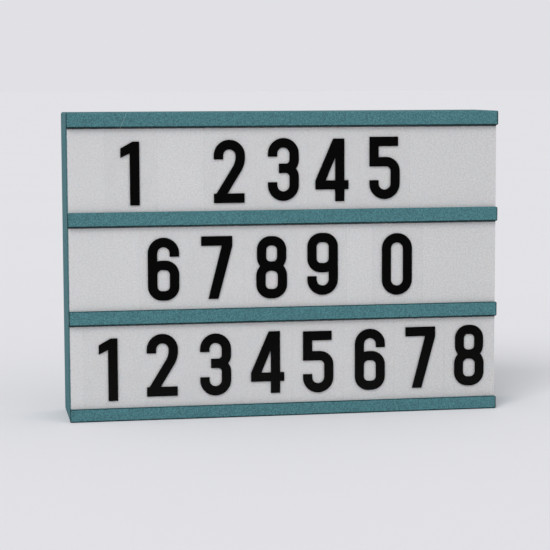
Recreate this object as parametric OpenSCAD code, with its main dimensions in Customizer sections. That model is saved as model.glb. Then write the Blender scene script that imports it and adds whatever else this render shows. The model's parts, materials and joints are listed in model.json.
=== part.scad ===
// Cinema light box: a flat lamp with three rows of sliding character tiles.
// The housing is a four-walled surround. A white diffuser panel covers its front,
// and four grooved rails hold the clear tiles in front of the panel.
// A back cover carries the battery bay, the switch, the supply socket and the lights.
// X runs to the right seen from the front, Y runs from front to back and Z runs up.
// The origin is the middle of the footprint, on the surface the box stands on.

/* [Overall] */
// Width over the rail ends
body_w = 300; // [296:1:330]
// Depth from the rail fronts to the rear face
body_d = 55; // [50:1:75]
// Thickness of the housing walls
wall = 2.5; // [2.1:0.1:3.2]
// Radius of the housing's four long edges
corner_r = 1.5; // [0.5:0.1:3]
// Thickness of the inward flange that the panel seats on
flange_t = 1.8; // [1.2:0.1:3]
// Width of that flange at the two sides
side_flange_w = 9; // [8:0.5:12]

/* [Rows and rails] */
// Clear height of a row between two rails
row_h = 57; // [50:1:70]
// Face height of the top rail and the two middle rails
rail_h = 10; // [9:0.5:14]
// Face height of the bottom rail
foot_rail_h = 9; // [8.5:0.5:14]
// How far the rails stand out from the panel
rail_t = 3.4; // [3.2:0.1:6]
// Thickness of a rail's front plate
rail_plate_t = 2; // [1.2:0.1:2.4]
// Radius of the front plate's long edges
rail_edge_r = 0.8; // [0.2:0.1:1.1]
// Corner radius of a rail seen from the front
rail_corner_r = 1; // [0.3:0.1:2]
// Depth of the tile grooves behind the front plate
groove_depth = 2.6; // [1.5:0.1:3]
// Thickness of the cap that covers the panel's top and bottom edges
cap_t = 1.2; // [0.8:0.1:2]
// Thickness of the diffuser panel
panel_t = 2; // [1.5:0.1:3]

/* [Tiles] */
// Width of a tile
tile_w = 35.6; // [30:0.1:36]
// Thickness of a tile
tile_t = 0.6; // [0.4:0.1:0.9]
// Gap between two tiles that stand side by side
tile_gap = 0.6; // [0.4:0.1:0.9]
// Corner radius of a tile
tile_r = 1.5; // [0.5:0.1:4]
// From the rail's left end to the lone tile in the top row
top_lone_start = 25.8; // [2:0.1:50]
// From the rail's left end to the group of four in the top row
top_group_start = 93.2; // [90:0.1:110]
// From the rail's left end to the group of four in the middle row
mid_group_start = 48.4; // [2:0.1:60]
// From the rail's left end to the lone tile in the middle row
mid_lone_start = 211.2; // [208:0.1:240]
// From the rail's left end to the eight tiles in the bottom row
low_group_start = 9.6; // [1:0.1:10]

/* [Back cover] */
// Thickness of the back cover
cover_t = 2.2; // [1.8:0.1:3]
// Width of the rebate in the housing walls that takes the cover
rebate_w = 1.3; // [0.8:0.1:1.6]
// Distance between the two wall keyholes
keyhole_span = 200; // [150:1:230]
// From the top of the box down to the keyholes
keyhole_drop = 34; // [26:1:50]
// Diameter of a keyhole's entry, for the screw head
keyhole_d = 9; // [8:0.1:10]
// Width of a keyhole's slot, for the screw shank
keyhole_slot_w = 4.6; // [3.6:0.1:5.2]

/* [Batteries] */
// Diameter of an AA cell
cell_d = 14.3; // [13.8:0.1:14.4]
// Length of an AA cell over its terminal
cell_len = 50.5; // [49.5:0.1:50.8]
// Length of a fitted contact spring
spring_len = 5.2; // [4.8:0.1:6]
// Wire radius of a contact spring
spring_wire_r = 0.4; // [0.3:0.05:0.45]
// Thickness of a contact plate
contact_t = 0.5; // [0.3:0.1:0.8]
// Thickness of the bay's walls
bay_wall = 1.6; // [1.2:0.1:2.2]
// Height of the bay's floor side above the bottom of the box
bay_z = 24; // [23:0.5:27]
// Thickness of the battery door
door_t = 2; // [1.6:0.1:2.4]
// Width of the ledge that the door covers on each side
door_ledge = 4; // [3:0.1:6]

/* [Switch and socket] */
// Gap between the battery bay's rim and the recessed control pocket
pocket_gap = 7.1; // [6:0.1:12]
// Middle of the control pocket above the bottom of the box
pocket_z = 46; // [42:1:52]
// Width of the control pocket
pocket_w = 46; // [44:1:52]
// Height of the control pocket
pocket_h = 24; // [20:1:26]
// Depth of the control pocket
pocket_depth = 4.6; // [4:0.1:5]
// Tilt of the rocker either side of level
rocker_tilt = 9; // [5:0.5:9]

/* [Lights] */
// Length of a light board
board_len = 196; // [150:2:200]
// Height of a light board
board_h = 10; // [8:0.5:14]
// Thickness of the circuit boards
board_t = 1.2; // [0.8:0.1:1.6]
// Number of lights on each board
light_count = 6; // [4:1:10]
// Thickness of the reflector tray
tray_t = 0.9; // [0.6:0.1:1.5]

/* [Hidden] */
$fn = 48;

// Clearances
fit = 0.25;        // between the back cover and its rebate
hole_gap = 0.2;    // radial, round bosses and screws
groove_play = 0.3; // under a tile that stands in its groove
tile_headroom = 0.9; // over a tile in its groove
over = 1;          // how far a cut runs past a face

// Planes from front to back
y_front = -body_d / 2;
y_panel = y_front + rail_t;
y_flange = y_panel + panel_t;
y_flange_in = y_flange + flange_t;
y_rear = body_d / 2;
y_cover = y_rear - cover_t;

// Heights
rows = 3;
function row_z(row) = foot_rail_h + row * (row_h + rail_h);
function row_mid(row) = row_z(row) + row_h / 2;
function rail_mid(row) = row_z(row) - rail_h / 2;
body_h = row_z(rows);

// Tiles
tile_pitch = tile_w + tile_gap;
tile_h = row_h + 2 * groove_depth - groove_play - tile_headroom;
tile_y = y_panel - (rail_t - rail_plate_t) / 2;
top_starts = [top_lone_start, for (i = [0:3]) top_group_start + i * tile_pitch];
middle_starts = [for (i = [0:3]) mid_group_start + i * tile_pitch, mid_lone_start];
bottom_starts = [for (i = [0:7]) low_group_start + i * tile_pitch];

// Rail bosses and their screws
rail_boss_d = 3.8;
rail_pilot_d = 2.4;
rail_skin = 1;       // left in front of a pilot hole
middle_boss_x = 42;
boss_from_post = 21.5;
side_boss_x = body_w / 2 - wall - side_flange_w / 2;
inner_boss_x = 48;
top_boss_z = body_h - wall - 2.9;
foot_boss_z = wall + 2.5;
rail_screw = [2.2, 5, 4.6, 1.6]; // shank diameter, shank length, head diameter, head height
washer_d = 9;
washer_t = 0.8;
boss_set_back = 0.2; // a boss ends this far short of the screw head

// Posts of the housing that take the cover screws
post_d = 9;
post_x = body_w / 2 - wall - post_d / 2 + 0.5;
post_z = wall + post_d / 2 - 0.5;
posts = [for (x = [-post_x, 0, post_x], z = [post_z, body_h - post_z]) [x, z]];
outer_boss_x = post_x - boss_from_post;
edge_boss_x = [-outer_boss_x, -middle_boss_x, middle_boss_x, outer_boss_x];
cover_boss_d = 7.6;
cover_boss_h = 2.4;
cover_screw = [2.6, 12, 5.4, 1.9];
post_pilot_d = 2.9;
post_pilot_depth = 14;
head_seat = 2.4;     // depth of a screw's counterbore

// Wall keyholes
slot_rise = 8;       // from the entry's centre up to the slot's end
keyhole_play = 1.6;  // round the screw's head, behind the plate
keyhole_room = 4.8;  // depth of the room for the screw's head
keyhole_wall = 1.4;
keyhole_back = 1.2;  // thickness of the pocket's end

// Battery bay, measured inwards from the rear
door_out = y_rear - 0.2;
door_in = door_out - door_t;
door_gap = 0.3;
ledge_y = door_in - 0.2;
cell_pitch = cell_d + 0.9;
cell_y = door_in - 0.5 - cell_d / 2;
bay_floor = cell_y - cell_d / 2 - 0.15;
partition_t = 2;
partition_top = ledge_y - 1.3;
terminal_hole_d = 1.8;
terminal_y = bay_floor + 3.6;
column_len = cell_len + spring_len + 2 * contact_t + 0.3;
contact_half = 5.5;  // half the width of a contact plate
bay_w = 2 * column_len + partition_t;
bay_h = 3 * cell_pitch + 1;
bay_top = bay_z + bay_h;
function cell_z(i) = bay_z + 0.5 + (i + 0.5) * cell_pitch;

// Battery door and its hinge
door_w = bay_w + 2 * door_ledge;
barrel_r = 1.9;
barrel_gap = 0.2;
hinge_y = door_out - barrel_r;
hinge_z = bay_z - 3.3;
door_top = bay_top + 3;
pin_r = 1;
pin_len = 2.4;
pin_bore_r = 1.1;
pin_bore_len = 2.7;
rim_side = 3.6;
rim_edge = 1.6;
rim_depth = 3.8;     // how far the rim reaches in behind the cover plate
tongue_w = 16;
tongue_len = 12;
tongue_slit = 1;

// Control pocket, switch and socket
pocket_x = door_w / 2 + door_gap + rim_side + pocket_gap + pocket_w / 2;
pocket_y = y_rear - pocket_depth;
pocket_floor_t = 1.8;
pocket_in = pocket_y - pocket_floor_t;
switch_x = pocket_x - 10;
bezel_size = [10.4, 15.2];
bezel_t = 1.8;
switch_size = [8.3, 13.6];
switch_depth = 9.5;
switch_cavity_x = 6.6;
rocker_w = 6.2;
rocker_y = pocket_y - 2.7;
trunnion_r = 0.8;
terminal_len = 4.8;
terminal_z = 3.5;
usb_x = pocket_x + 10;
usb_size = [7.5, 2.6];
usb_len = 5.7;
usb_wall = 0.3;

// Control board in its two guides
control_w = 24;
control_len = 12.7;
control_top = pocket_z - usb_size[1] / 2;
control_y1 = pocket_in - 0.2;
control_y0 = control_y1 - control_len;
guide_w = 2.2;
guide_len = 12;
guide_bite = 0.8;    // depth of a guide's groove
guide_h = 4.4;

// Reflector tray and light boards
wire_room = 3.4;     // between the bay and the tray
tray_y1 = bay_floor - bay_wall - wire_room;
tray_y0 = tray_y1 - tray_t;
tray_front = y_flange_in + 3;
tray_mid = body_h / 2;
tray_side_gap = 4.5;
tray_edge_gap = 9.5;
tray_front_size = [body_w - 2 * (wall + tray_side_gap), body_h - 2 * (wall + tray_edge_gap)];
tray_slope = [42, 28]; // how much the tray widens from back to front
tray_back_size = tray_front_size - tray_slope;
tray_corner = 18;
pillar_d = 6;
pillar_x = tray_back_size[0] / 2 - 10;
tray_screw = [2.2, 8, 5, 1.6];
board_y = tray_y0 - board_t;
light_size = [3.5, 2.8, 0.8];
board_end = board_len / 2;
light_margin = 13;   // from a board's end to its first light
light_pitch = (board_len - 2 * light_margin) / (light_count - 1);
resistor_size = [2, 1.3, 0.5];
jumper_inset = 20;
jumper_spacing = 4;
jumper_x = [board_end - jumper_inset, board_end - jumper_inset + jumper_spacing];
feed_hole = [board_end + 5, pocket_z + 4];
feed_hole_d = 5;
wire_r = 0.5;

// ---------------------------------------------------------------- helpers

// A box between two opposite corners
module block(a, b) {
    translate(a) cube(b - a);
}

// A front-view outline, X and Z, carried from y0 back to y1
module slab(y0, y1) {
    translate([0, y1, 0]) rotate([90, 0, 0]) linear_extrude(y1 - y0) children();
}

// A side-view outline, Y and Z, carried along X about the centre
module along_x(length) {
    rotate([90, 0, 90]) linear_extrude(length, center = true) children();
}

// A round bar along Y
module bar_y(x, z, y0, y1, d) {
    translate([x, y0, z]) rotate([-90, 0, 0]) cylinder(h = y1 - y0, d = d);
}

// A round bar along X about the centre
module bar_x(y, z, length, r) {
    translate([0, y, z]) rotate([0, 90, 0]) cylinder(h = length, r = r, center = true);
}

module rounded_rect(size, r) {
    square([size[0] - 2 * r, size[1]], center = true);
    square([size[0], size[1] - 2 * r], center = true);
    for (x = [-1, 1], z = [-1, 1])
        translate([x * (size[0] / 2 - r), z * (size[1] / 2 - r)]) circle(r);
}

// A screw whose head's underside is at y = 0; its shank points to +Y. Its head has a cross recess.
module screw(s) {
    cross = [s[2] * 0.55, 0.7];
    bar_y(0, 0, 0, s[1], s[0]);
    difference() {
        bar_y(0, 0, -s[3], 0, s[2]);
        for (c = [cross, [cross[1], cross[0]]])
            translate([0, -s[3], 0]) cube([c[0], s[3], c[1]], center = true);
    }
}

// A screw whose head's underside is at y and whose shank points to the front
module screw_forward(x, y, z, s) {
    translate([x, y, z]) rotate([0, 0, 180]) screw(s);
}

module screw_back(x, y, z, s) {
    translate([x, y, z]) screw(s);
}

// Unit vector, and a ring of points round p that faces along t
function unit(v) = v / norm(v);
function ring(p, t, r, sides) =
    let (u = unit(cross(t, [0.31, 0.17, 0.94])), v = cross(t, u))
    [for (i = [0:sides - 1]) p + r * (cos(360 * i / sides) * u + sin(360 * i / sides) * v)];

// A tube of constant radius along a list of points. Its ends face along first and last.
module tube(points, r, sides, first, last) {
    n = len(points);
    steps = [for (i = [0:n - 2]) unit(points[i + 1] - points[i])];
    tangents = [first, for (i = [1:n - 2]) unit(steps[i] + steps[i - 1]), last];
    rings = [for (i = [0:n - 1]) each ring(points[i], tangents[i], r, sides)];
    walls = [for (i = [0:n - 2], k = [0:sides - 1])
        let (a = i * sides + k, b = i * sides + (k + 1) % sides)
        each [[a, a + sides, b], [b, a + sides, b + sides]]];
    caps = [for (k = [1:sides - 2]) each [[0, k, k + 1],
        [(n - 1) * sides, (n - 1) * sides + k + 1, (n - 1) * sides + k]]];
    polyhedron(points = rings, faces = concat(walls, caps));
}

// ---------------------------------------------------------------- housing and front

module body_outline() {
    translate([0, body_h / 2]) rounded_rect([body_w, body_h], corner_r);
}

module housing() {
    inner = [body_w - 2 * wall, body_h - 2 * wall];
    rebate = inner + 2 * [rebate_w, rebate_w];
    window_low = foot_rail_h - 0.5;
    window_high = body_h - rail_h + 0.5;
    color([0.28, 0.46, 0.49]) difference() {
        union() {
            difference() {
                slab(y_flange, y_rear) body_outline();
                slab(y_flange_in, y_rear + over) translate([0, body_h / 2]) square(inner, center = true);
                slab(y_cover, y_rear + over) translate([0, body_h / 2]) rounded_rect(rebate, 0.8);
                block([-body_w / 2 + wall + side_flange_w, y_flange - over, window_low],
                    [body_w / 2 - wall - side_flange_w, y_flange_in + over, window_high]);
            }
            for (p = posts) bar_y(p[0], p[1], y_flange_in, y_cover - cover_boss_h, post_d);
        }
        for (p = posts)
            bar_y(p[0], p[1], y_cover - cover_boss_h - post_pilot_depth, y_rear, post_pilot_d);
        for (x = edge_boss_x, z = [foot_boss_z, top_boss_z])
            bar_y(x, z, y_flange - over, y_flange_in + over, rail_boss_d + 2 * hole_gap);
        for (x = [-side_boss_x, side_boss_x], row = [1, 2])
            bar_y(x, rail_mid(row), y_flange - over, y_flange_in + over, rail_boss_d + 2 * hole_gap);
    }
}

module front_panel() {
    inset = 0.4;
    edge = cap_t + hole_gap;
    color([0.84, 0.84, 0.85]) difference() {
        block([-body_w / 2 + inset, y_panel, edge], [body_w / 2 - inset, y_flange, body_h - edge]);
        for (x = edge_boss_x, z = [foot_boss_z, top_boss_z])
            bar_y(x, z, y_panel - over, y_flange + over, rail_boss_d + 2 * hole_gap);
        for (x = [-side_boss_x, -inner_boss_x, inner_boss_x, side_boss_x], row = [1, 2])
            bar_y(x, rail_mid(row), y_panel - over, y_flange + over, rail_boss_d + 2 * hole_gap);
    }
}

// A rail's section: a spine against the panel, and a wider plate in front of the grooves
module rail_section(z0, z1, groove_below, groove_above) {
    plate_y = y_front + rail_plate_t;
    low = z0 + (groove_below ? groove_depth : 0);
    high = z1 - (groove_above ? groove_depth : 0);
    translate([plate_y - 0.1, low]) square([y_panel - plate_y + 0.1, high - low]);
    translate([y_front + rail_edge_r, z0]) square([rail_plate_t - rail_edge_r, z1 - z0]);
    translate([y_front, z0 + rail_edge_r]) square([rail_plate_t / 2, z1 - z0 - 2 * rail_edge_r]);
    for (z = [z0 + rail_edge_r, z1 - rail_edge_r])
        translate([y_front + rail_edge_r, z]) circle(rail_edge_r);
}

// A rail with bosses, each [x, y of its rear end]. The ends keep the corner radius in front view.
module rail(z0, z1, groove_below, groove_above, boss_z, bosses) {
    color([0.28, 0.46, 0.49]) difference() {
        union() {
            intersection() {
                along_x(body_w) rail_section(z0, z1, groove_below, groove_above);
                slab(y_front - over, y_flange) translate([0, (z0 + z1) / 2])
                    rounded_rect([body_w, z1 - z0], rail_corner_r);
            }
            for (b = bosses) bar_y(b[0], boss_z, y_panel - 0.2, b[1], rail_boss_d);
        }
        for (b = bosses) bar_y(b[0], boss_z, y_front + rail_skin, b[1] + over, rail_pilot_d);
    }
}

// The cap is the edge rails' turned-in rear edge, which hides the panel's cut edge
module edge_cap(z0, z1) {
    color([0.28, 0.46, 0.49]) intersection() {
        block([-body_w / 2, y_panel - 0.2, z0], [body_w / 2, y_flange, z1]);
        slab(y_front, y_flange) body_outline();
    }
}

module top_rail() {
    bosses = [for (x = edge_boss_x) [x, y_flange_in - boss_set_back]];
    rail(body_h - rail_h, body_h, true, false, top_boss_z, bosses);
    edge_cap(body_h - cap_t, body_h);
}

module bottom_rail() {
    bosses = [for (x = edge_boss_x) [x, y_flange_in - boss_set_back]];
    rail(0, foot_rail_h, false, true, foot_boss_z, bosses);
    edge_cap(0, cap_t);
}

module middle_rail(row) {
    ends = [for (x = [-side_boss_x, side_boss_x]) [x, y_flange_in - boss_set_back]];
    inner = [for (x = [-inner_boss_x, inner_boss_x]) [x, y_flange - boss_set_back]];
    rail(row_z(row) - rail_h, row_z(row), true, true, rail_mid(row), concat(ends, inner));
}

module rail_screws() {
    color("silver") {
        for (x = edge_boss_x, z = [foot_boss_z, top_boss_z])
            screw_forward(x, y_flange_in, z, rail_screw);
        for (row = [1, 2]) {
            for (x = [-side_boss_x, side_boss_x])
                screw_forward(x, y_flange_in, rail_mid(row), rail_screw);
            for (x = [-inner_boss_x, inner_boss_x])
                screw_forward(x, y_flange + washer_t, rail_mid(row), rail_screw);
        }
    }
}

module rail_washers() {
    color("silver") for (x = [-inner_boss_x, inner_boss_x], row = [1, 2]) difference() {
        bar_y(x, rail_mid(row), y_flange, y_flange + washer_t, washer_d);
        bar_y(x, rail_mid(row), y_flange - over, y_flange + washer_t + over, rail_pilot_d + 0.1);
    }
}

// A clear tile in a row. start is its left edge, from the rail's left end.
module tile(start, row) {
    low = row_z(row) - groove_depth + groove_play;
    color([0.93, 0.94, 0.95, 0.4]) slab(tile_y - tile_t / 2, tile_y + tile_t / 2)
        translate([-body_w / 2 + start + tile_w / 2, low + tile_h / 2])
            rounded_rect([tile_w, tile_h], tile_r);
}

// ---------------------------------------------------------------- back cover

// The entry hole of a keyhole and the slot above it
module keyhole_cut() {
    bar_y(0, 0, y_cover - over, y_rear + over, keyhole_d);
    bar_y(0, slot_rise, y_cover - over, y_rear + over, keyhole_slot_w);
    block([-keyhole_slot_w / 2, y_cover - over, 0], [keyhole_slot_w / 2, y_rear + over, slot_rise]);
}

// A block behind a keyhole: the room for the screw's head, or with a wall round it the closed
// pocket that keeps the light in
module keyhole_block(wall_t, depth) {
    half_w = keyhole_d / 2 + keyhole_play + wall_t;
    high = slot_rise + keyhole_slot_w / 2 + keyhole_play + 0.2 + wall_t;
    block([-half_w, y_cover - depth, -half_w], [half_w, y_cover, high]);
}

module at_keyholes() {
    for (x = [-keyhole_span / 2, keyhole_span / 2]) translate([x, 0, body_h - keyhole_drop]) children();
}

// Everything that the battery bay adds behind the cover plate
module bay_outside() {
    half = bay_w / 2 + bay_wall;
    rim = door_w / 2 + door_gap + rim_side;
    block([-half, bay_floor - bay_wall, bay_z - bay_wall], [half, y_cover, bay_top + bay_wall]);
    block([-rim, y_cover - rim_depth, hinge_z - barrel_r - barrel_gap - rim_edge],
        [rim, y_cover, door_top + door_gap + rim_edge]);
}

module bay_inside() {
    recess = door_w / 2 + door_gap;
    trough_r = barrel_r + barrel_gap;
    block([-bay_w / 2, bay_floor, bay_z], [bay_w / 2, y_rear + over, bay_top]);
    block([-recess, ledge_y, hinge_z], [recess, y_rear + over, door_top + door_gap]);
    block([-recess, hinge_y, hinge_z - trough_r], [recess, y_rear + over, hinge_z + 0.1]);
    bar_x(hinge_y, hinge_z, 2 * recess, trough_r);
    bar_x(hinge_y, hinge_z, 2 * (recess + pin_bore_len), pin_bore_r);
    // finger scoop over the door's latch tongue
    translate([0, y_rear - 1.2, door_top]) rotate([-90, 0, 0]) cylinder(h = cover_t, d = tongue_w);
}

// The partition between the two columns of cells, and the ridges between the cells
module bay_ribs() {
    ridge_h = 3.2;
    ridge_half = 2.6;
    ridge_len = column_len - 2 * (contact_t + 1);
    ridge_x = (partition_t + column_len) / 2;
    foot = bay_floor - 0.2;
    block([-partition_t / 2, foot, bay_z - 0.2], [partition_t / 2, partition_top, bay_top + 0.2]);
    for (x = [-ridge_x, ridge_x], i = [1, 2]) translate([x, 0, cell_z(i) - cell_pitch / 2])
        along_x(ridge_len) polygon([[foot, -ridge_half], [bay_floor + ridge_h, 0], [foot, ridge_half]]);
}

module pocket_outline(grow) {
    translate([pocket_x, pocket_z])
        rounded_rect([pocket_w + 2 * grow, pocket_h + 2 * grow], 2 + grow);
}

module pocket_cuts() {
    slab(pocket_y, y_rear + over) pocket_outline(0);
    slab(pocket_in - over, pocket_y + over) {
        translate([switch_x, pocket_z]) square(switch_size + 2 * [hole_gap, hole_gap], center = true);
        translate([usb_x, pocket_z]) rounded_rect(usb_size + 2 * [0.5, 0.5], 1.2);
    }
}

// Two grooved guides that hold the control board by its side edges
module board_guides() {
    for (side = [-1, 1]) {
        edge = usb_x + side * control_w / 2;
        inner = edge - side * (guide_bite - hole_gap);
        outer = inner + side * guide_w;
        difference() {
            block([min(inner, outer), pocket_in - guide_len, control_top - 2.8],
                [max(inner, outer), pocket_in + 0.2, control_top - 2.8 + guide_h]);
            block([min(inner - side, edge + side * hole_gap), pocket_in - guide_len - over,
                    control_top - board_t - 0.15],
                [max(inner - side, edge + side * hole_gap), pocket_in, control_top + 0.15]);
        }
    }
}

module back_cover() {
    inset = wall - rebate_w + fit;
    plate = [body_w - 2 * inset, body_h - 2 * inset];
    color([0.28, 0.46, 0.49]) {
        difference() {
            union() {
                slab(y_cover, y_rear) translate([0, body_h / 2]) rounded_rect(plate, 0.6);
                bay_outside();
                slab(pocket_in, y_cover) pocket_outline(pocket_floor_t);
                at_keyholes() keyhole_block(keyhole_wall, keyhole_room + keyhole_back);
                for (p = posts) bar_y(p[0], p[1], y_cover - cover_boss_h, y_cover, cover_boss_d);
                for (x = [-pillar_x, pillar_x], row = [1, 2])
                    bar_y(x, rail_mid(row), tray_y1, y_cover, pillar_d);
            }
            bay_inside();
            pocket_cuts();
            at_keyholes() {
                keyhole_block(0, keyhole_room);
                keyhole_cut();
            }
            for (p = posts) {
                bar_y(p[0], p[1], y_cover - cover_boss_h - over, y_rear, cover_screw[0] + 2 * hole_gap);
                bar_y(p[0], p[1], y_rear - head_seat, y_rear + over, cover_screw[2] + 3 * hole_gap);
            }
            for (x = [-pillar_x, pillar_x], row = [1, 2])
                bar_y(x, rail_mid(row), tray_y1 - over, tray_y1 + 9, rail_pilot_d);
            bar_x(terminal_y, cell_z(0), bay_w + 4 * bay_wall, terminal_hole_d / 2);
        }
        bay_ribs();
        board_guides();
    }
}

module cover_screws() {
    color("silver") for (p = posts) screw_forward(p[0], y_rear - head_seat, p[1], cover_screw);
}

module battery_door() {
    grip_z = [for (i = [0:3]) door_top - 4 - 2.2 * i];
    color([0.28, 0.46, 0.49]) difference() {
        union() {
            slab(door_in, door_out) difference() {
                translate([0, (door_top + hinge_z) / 2])
                    rounded_rect([door_w, door_top - hinge_z], 1.2);
                for (x = [-tongue_w / 2, tongue_w / 2]) translate([x, door_top - tongue_len / 2 + over])
                    square([tongue_slit, tongue_len + 2 * over], center = true);
            }
            slab(door_in, door_out) translate([-door_w / 2, hinge_z]) square([door_w, 3]);
            bar_x(hinge_y, hinge_z, door_w, barrel_r);
            bar_x(hinge_y, hinge_z, door_w + 2 * pin_len, pin_r);
        }
        for (z = grip_z) bar_x(door_out + 0.2, z, tongue_w - 5, 0.6);
    }
}

// ---------------------------------------------------------------- batteries

// A cell along X. Its base is at x = 0 and its positive terminal points to +X.
module cell() {
    nub_len = 1.3;
    shoulder = 0.8;
    r = cell_d / 2;
    rotate([0, 90, 0]) rotate_extrude() {
        polygon([[0, 0.3], [r - 2.5, 0.3], [r - 2.5, 0], [r - 0.5, 0], [r, 0.5],
            [r, cell_len - nub_len - shoulder], [r - shoulder, cell_len - nub_len],
            [2.7, cell_len - nub_len], [2.7, cell_len], [0, cell_len]]);
    }
}

// Puts its child, drawn from a negative contact at x = 0 along +X, in each of the six bays.
// The cells point alternately to the right and to the left, so each column is in series.
module at_cells() {
    for (left = [-bay_w / 2, partition_t / 2], i = [0:2]) {
        flip = i % 2;
        translate([left + flip * column_len, cell_y, cell_z(i)]) rotate([0, 0, flip * 180]) children();
    }
}

module aa_cells() {
    color([0.75, 0.6, 0.35]) at_cells() translate([contact_t + spring_len + 0.05, 0, 0]) cell();
}

// A conical coil along X, from its wide end at x = 0
coil_turns = 3.5;
rings_per_turn = 8;
coil_steps = coil_turns * rings_per_turn;
coil_base_r = 4.2;
coil_tip_r = 2.5;
coil_rise = spring_len - 2 * spring_wire_r - 0.1;
coil_path = [for (i = [0:coil_steps]) let (s = i / coil_steps, a = 360 * i / rings_per_turn,
    r = coil_base_r + (coil_tip_r - coil_base_r) * s)
    [spring_wire_r + 0.05 + coil_rise * s, r * cos(a), r * sin(a)]];
coil_gap = min([for (i = [0:coil_steps], k = [0:coil_steps]) if (k > i + rings_per_turn / 2)
    norm(coil_path[k] - coil_path[i])]) - 2 * spring_wire_r;
echo(least_gap_between_turns = coil_gap);

module contact_spring() {
    tube(coil_path, spring_wire_r, 6, unit(coil_path[1] - coil_path[0]),
        unit(coil_path[coil_steps] - coil_path[coil_steps - 1]));
}

module contact_springs() {
    color("silver") at_cells() translate([contact_t, 0, 0]) contact_spring();
}

// One flat contact, from its left face, over the cells from low to high
module contact(x, low, high) {
    block([x, cell_y - contact_half, cell_z(low) - contact_half],
        [x + contact_t, cell_y + contact_half, cell_z(high) + contact_half]);
}

// The contacts at the outer walls and on both sides of the partition.
// A clip over the partition's edge joins the two columns.
module contact_plates() {
    outer = bay_w / 2;
    inner = partition_t / 2;
    clip_low = cell_z(2) - contact_half;
    clip_high = cell_z(2) + contact_half;
    color("silver") {
        for (x = [-outer, outer - contact_t]) {
            contact(x, 0, 0);
            contact(x, 1, 2);
        }
        for (x = [-inner - contact_t, inner]) {
            contact(x, 0, 1);
            contact(x, 2, 2);
            block([x, cell_y, clip_low], [x + contact_t, partition_top + contact_t, clip_high]);
        }
        block([-inner - contact_t, partition_top, clip_low],
            [inner + contact_t, partition_top + contact_t, clip_high]);
    }
}

// ---------------------------------------------------------------- lights

module tray_outline(size, corner) {
    a = size / 2;
    b = a - [corner, corner];
    polygon([[a[0], b[1]], [b[0], a[1]], [-b[0], a[1]], [-a[0], b[1]],
        [-a[0], -b[1]], [-b[0], -a[1]], [b[0], -a[1]], [a[0], -b[1]]]);
}

// A shallow funnel that widens from the back towards the panel
module funnel(back, depth) {
    front = back + tray_slope;
    rotate([90, 0, 0])
        linear_extrude(depth, scale = [front[0] / back[0], front[1] / back[1]], slices = 1)
            tray_outline(back, tray_corner);
}

module reflector_tray() {
    depth = tray_y1 - tray_front;
    color("white") difference() {
        translate([0, tray_y1, tray_mid]) funnel(tray_back_size, depth);
        translate([0, tray_y0, tray_mid]) funnel(tray_back_size - 2 * [tray_t, tray_t], depth);
        for (x = [-pillar_x, pillar_x], row = [1, 2])
            bar_y(x, rail_mid(row), tray_y0 - over, tray_y1 + over, tray_screw[0] + 2 * hole_gap);
        bar_y(feed_hole[0], feed_hole[1], tray_y0 - over, tray_y1 + over, feed_hole_d);
    }
}

module tray_screws() {
    color("silver") for (x = [-pillar_x, pillar_x], row = [1, 2])
        screw_back(x, tray_y0, rail_mid(row), tray_screw);
}

module led_board(row) {
    color([0.9, 0.9, 0.88]) block([-board_end, board_y, row_mid(row) - board_h / 2],
        [board_end, tray_y0, row_mid(row) + board_h / 2]);
}

module led_chips() {
    color([0.95, 0.85, 0.35]) for (row = [0:2], i = [0:light_count - 1])
        translate([(i - (light_count - 1) / 2) * light_pitch - light_size[0] / 2, board_y - light_size[2],
            row_mid(row) - light_size[1] / 2]) cube([light_size[0], light_size[2], light_size[1]]);
}

module led_resistors() {
    color([0.1, 0.1, 0.1]) for (row = [0:2], i = [0:light_count - 2])
        translate([(i + 1 - light_count / 2) * light_pitch - resistor_size[0] / 2,
            board_y - resistor_size[2], row_mid(row) - resistor_size[1] / 2])
            cube([resistor_size[0], resistor_size[2], resistor_size[1]]);
}

// Straight wires that join the light boards edge to edge
module led_jumper_wires() {
    gap = row_h + rail_h - board_h;
    y = board_y + board_t / 2 - 0.05;
    color("red") for (x = jumper_x, row = [0, 1])
        translate([x, y, row_mid(row) + board_h / 2]) cylinder(h = gap, r = wire_r);
}

// ---------------------------------------------------------------- controls

module control_board() {
    color([0.2, 0.45, 0.25]) block([usb_x - control_w / 2, control_y0, control_top - board_t],
        [usb_x + control_w / 2, control_y1, control_top]);
}

module control_board_parts() {
    color([0.15, 0.15, 0.15]) translate([usb_x, control_y0, control_top]) {
        block([-8.5, 2.5, 0], [-3.5, 6.4, 1.5]);
        for (x = [-1.5, 1.5]) block([x - 0.6, 2.5, 0], [x + 0.6, 5.6, 0.6]);
        translate([7, 4.4, 0]) cylinder(h = 5.4, d = 5);
    }
}

module usb_socket() {
    mouth = pocket_y - 0.2;
    inner_end = mouth - usb_len + usb_wall;
    color("silver") difference() {
        slab(mouth - usb_len, mouth) translate([usb_x, pocket_z]) rounded_rect(usb_size, 0.7);
        slab(inner_end, mouth + over) translate([usb_x, pocket_z])
            rounded_rect(usb_size - 2 * [usb_wall, usb_wall], 0.5);
    }
    color([0.1, 0.1, 0.1])
        block([usb_x - 1.8, inner_end, pocket_z - 0.1], [usb_x + 1.8, mouth - 0.6, pocket_z + 0.6]);
}

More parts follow.
